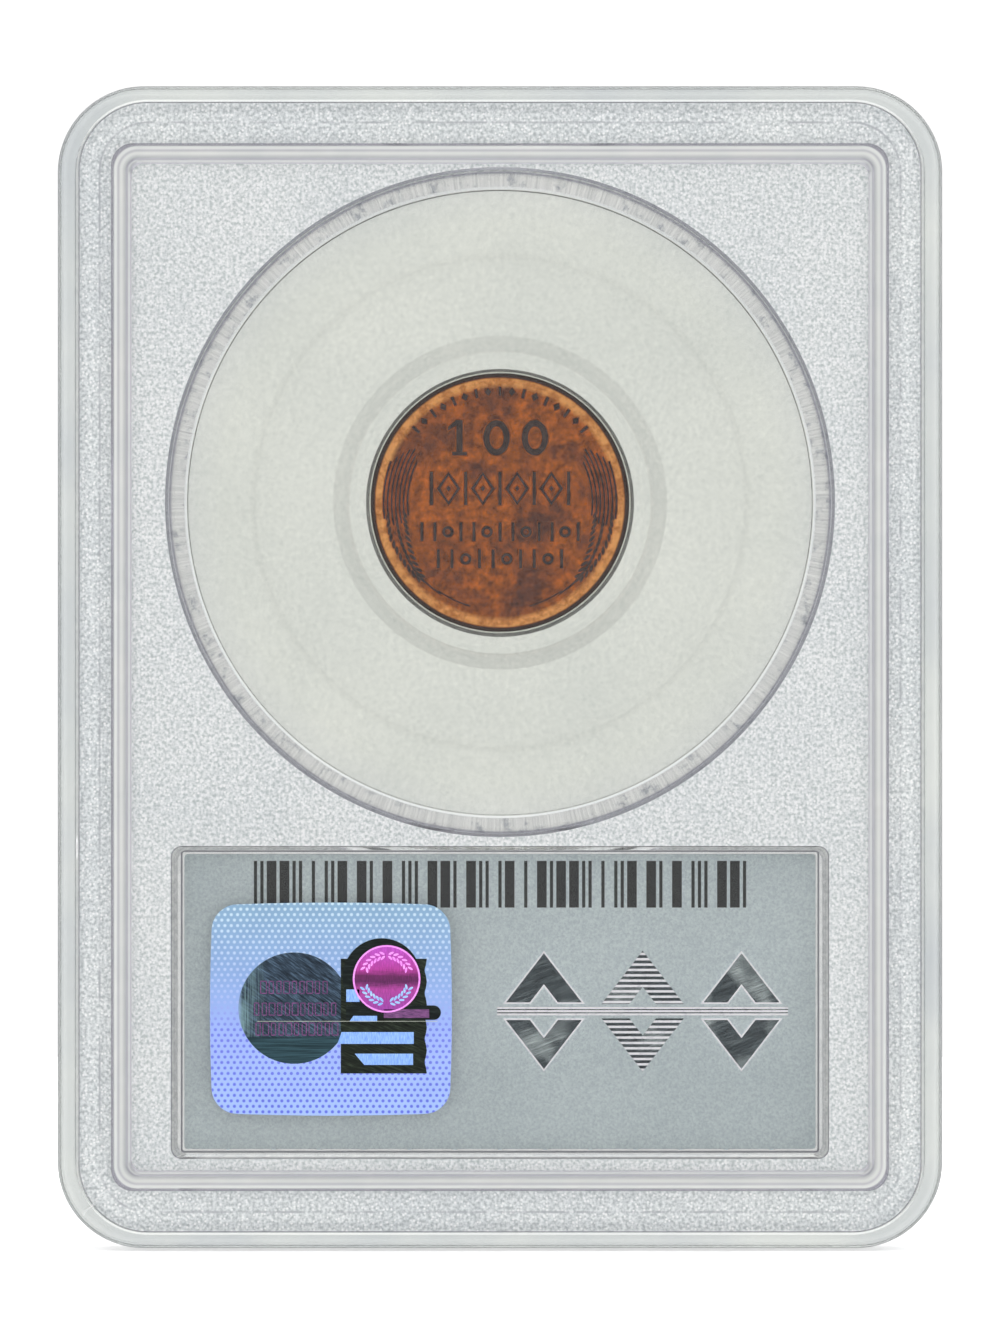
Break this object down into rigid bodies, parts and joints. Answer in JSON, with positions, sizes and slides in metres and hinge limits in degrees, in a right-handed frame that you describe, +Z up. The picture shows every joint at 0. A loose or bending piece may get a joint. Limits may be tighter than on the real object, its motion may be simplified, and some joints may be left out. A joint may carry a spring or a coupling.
{
  "type": "graded coin slab",
  "caption": "Sealed clear plastic holder with rounded corners that displays a coin in a round ring above a printed label behind its window.",
  "frame": {"origin": "middle of the lower edge, on the surface that the slab stands on, midway through its thickness", "axes": "+Z up along the slab's height, +Y through the thickness from the rear face to the front face, +X to the right when looking at the rear face"},
  "size_m": [0.0644, 0.0078, 0.0846],
  "materials": {
    "clear_plastic": "clear polystyrene, polished on the windows, rim and ridge and finely frosted between them",
    "ring_plastic": "polished clear plastic",
    "bead_plastic": "melted clear plastic",
    "coin_bronze": "toned bronze, satin lustre",
    "label_card": "matte blue-grey printed card",
    "silver_foil": "mirror-bright stamped foil",
    "sticker_film": "glossy hologram film"
  },
  "bodies": {
    "slab": {"rear_shell": "clear_plastic", "front_shell": "clear_plastic", "weld_bead": "bead_plastic", "coin_ring": "ring_plastic", "grading_label": "label_card", "foil_rule": "silver_foil", "hologram_sticker": "sticker_film", "foil_lozenge_left_upper": "silver_foil", "foil_lozenge_left_lower": "silver_foil", "foil_lozenge_middle_upper": "silver_foil", "foil_lozenge_middle_lower": "silver_foil", "foil_lozenge_right_upper": "silver_foil", "foil_lozenge_right_lower": "silver_foil"},
    "coin": {"coin": "coin_bronze"}
  },
  "joints": [
    {"name": "coin_turn", "type": "hinge", "parent": "slab", "child": "coin", "pos_m": [0, -0.0001, 0.0543], "axis": [0, -1, 0], "continuous": true}
  ]
}
